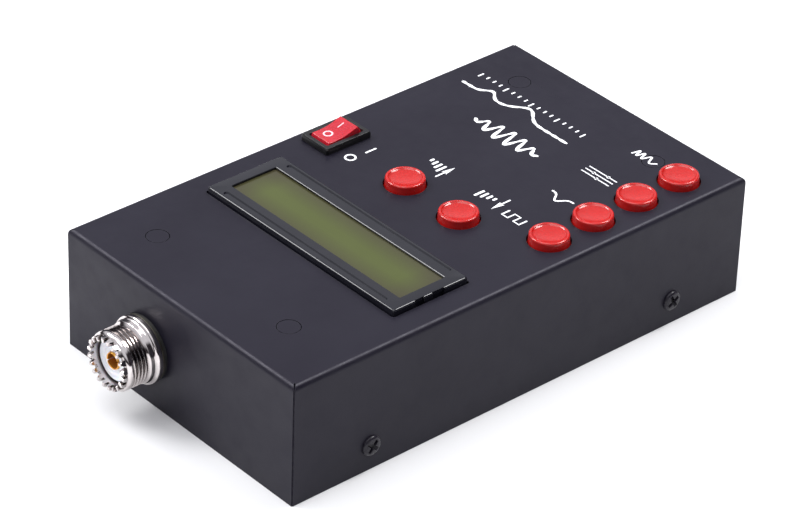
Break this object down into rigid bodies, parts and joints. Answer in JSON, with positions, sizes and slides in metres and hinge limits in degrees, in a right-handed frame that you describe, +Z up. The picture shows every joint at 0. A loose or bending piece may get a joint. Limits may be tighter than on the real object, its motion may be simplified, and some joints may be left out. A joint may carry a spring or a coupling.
{
  "type": "swr meter",
  "caption": "Handheld antenna analyser in a folded sheet-metal case: character display window, round push buttons, rocker power switch and a threaded coaxial antenna socket.",
  "frame": {"origin": "middle of the case's underside, at the mount base_rest", "axes": "+X to the reader's right, +Y along the case towards the antenna socket, +Z up out of the panel"},
  "size_m": [0.09, 0.1627, 0.0381],
  "materials": {
    "case_paint": "fine satin powder coat",
    "black_screw": "black oxide",
    "bright_steel": "zinc plated",
    "board_green": "solder mask over glass fibre",
    "black_plastic": "moulded",
    "lcd_paint": "glossy black paint",
    "lcd_cell": "reflective liquid crystal cell, unlit",
    "diffuser": "light guide",
    "nylon": "natural nylon",
    "red_plastic": "moulded, polished",
    "nickel": "bright nickel plate",
    "ptfe": "white fluoropolymer",
    "gilt": "gold plated",
    "dark_washer": "dull nickel",
    "gasket_rubber": "matt",
    "epoxy": "moulded epoxy",
    "tinned": "tinned",
    "copper": "bare copper alloy",
    "trimmer_blue": "moulded",
    "sleeve": "shrunk sleeve",
    "ferrite": "sintered",
    "resistor_paint": "lacquer",
    "wire_red": "vinyl insulation"
  },
  "bodies": {
    "case": {"top_cover": "case_paint", "bottom_plate": "case_paint", "case_screws": "black_screw", "clinch_nuts": "bright_steel", "panel_standoffs": "case_paint", "board_screws": "bright_steel", "main_board": "board_green", "lcd_frame": "lcd_paint", "lcd_glass": "lcd_cell", "lcd_backlight": "diffuser", "lcd_board": "board_green", "lcd_header": "black_plastic", "lcd_socket": "black_plastic", "lcd_spacers": "nylon", "lcd_screws": "bright_steel", "switch_housings": "black_plastic", "switch_plates": "tinned", "switch_domes": "bright_steel", "rocker_housing": "black_plastic", "rocker_terminals": "tinned", "antenna_shell": "nickel", "antenna_insulator": "ptfe", "antenna_contact": "gilt", "antenna_washer": "dark_washer", "antenna_gasket": "gasket_rubber", "antenna_nut": "nickel", "antenna_solder_tag": "tinned", "antenna_lead": "tinned", "ground_lead": "tinned", "power_socket": "black_plastic", "power_pin": "nickel", "data_shell": "bright_steel", "data_tongue": "black_plastic", "microcontroller": "epoxy", "signal_chips": "epoxy", "chip_legs": "tinned", "oscillator_can": "bright_steel", "crystal": "bright_steel", "contrast_trimmer": "trimmer_blue", "voltage_regulator": "epoxy", "filter_capacitors": "sleeve", "filter_coils": "copper", "bridge_toroid": "ferrite", "bridge_resistors": "resistor_paint", "power_leads": "wire_red"},
    "up_key": {"up_button": "red_plastic", "up_plunger": "black_plastic"},
    "down_key": {"down_button": "red_plastic", "down_plunger": "black_plastic"},
    "mode_key": {"mode_button": "red_plastic", "mode_plunger": "black_plastic"},
    "band_key": {"band_button": "red_plastic", "band_plunger": "black_plastic"},
    "config_key": {"config_button": "red_plastic", "config_plunger": "black_plastic"},
    "scan_key": {"scan_button": "red_plastic", "scan_plunger": "black_plastic"},
    "rocker": {"power_rocker": "red_plastic", "rocker_pin": "gilt"},
    "blade": {"contact_blade": "copper"}
  },
  "joints": [
    {"name": "up_press", "type": "slide", "parent": "case", "child": "up_key", "axis": [0, 0, -1], "range_m": [0, 0.0003], "stiffness_N_per_m": 6000, "springref_m": -0.0001},
    {"name": "down_press", "type": "slide", "parent": "case", "child": "down_key", "axis": [0, 0, -1], "range_m": [0, 0.0003], "stiffness_N_per_m": 6000, "springref_m": -0.0001},
    {"name": "mode_press", "type": "slide", "parent": "case", "child": "mode_key", "axis": [0, 0, -1], "range_m": [0, 0.0003], "stiffness_N_per_m": 6000, "springref_m": -0.0001},
    {"name": "band_press", "type": "slide", "parent": "case", "child": "band_key", "axis": [0, 0, -1], "range_m": [0, 0.0003], "stiffness_N_per_m": 6000, "springref_m": -0.0001},
    {"name": "config_press", "type": "slide", "parent": "case", "child": "config_key", "axis": [0, 0, -1], "range_m": [0, 0.0003], "stiffness_N_per_m": 6000, "springref_m": -0.0001},
    {"name": "scan_press", "type": "slide", "parent": "case", "child": "scan_key", "axis": [0, 0, -1], "range_m": [0, 0.0003], "stiffness_N_per_m": 6000, "springref_m": -0.0001},
    {"name": "rocker_tilt", "type": "hinge", "parent": "case", "child": "rocker", "pos_m": [0.0354, -0.0049, 0.03405], "axis": [1, 0, 0], "range_deg": [0, 18]},
    {"name": "blade_tilt", "type": "hinge", "parent": "case", "child": "blade", "pos_m": [0.0354, -0.0049, 0.026], "axis": [-1, 0, 0], "range_deg": [0, 12.1]}
  ],
  "couplings": [
    {"joint": "blade_tilt", "follows": "rocker_tilt", "ratio": 0.66667}
  ]
}
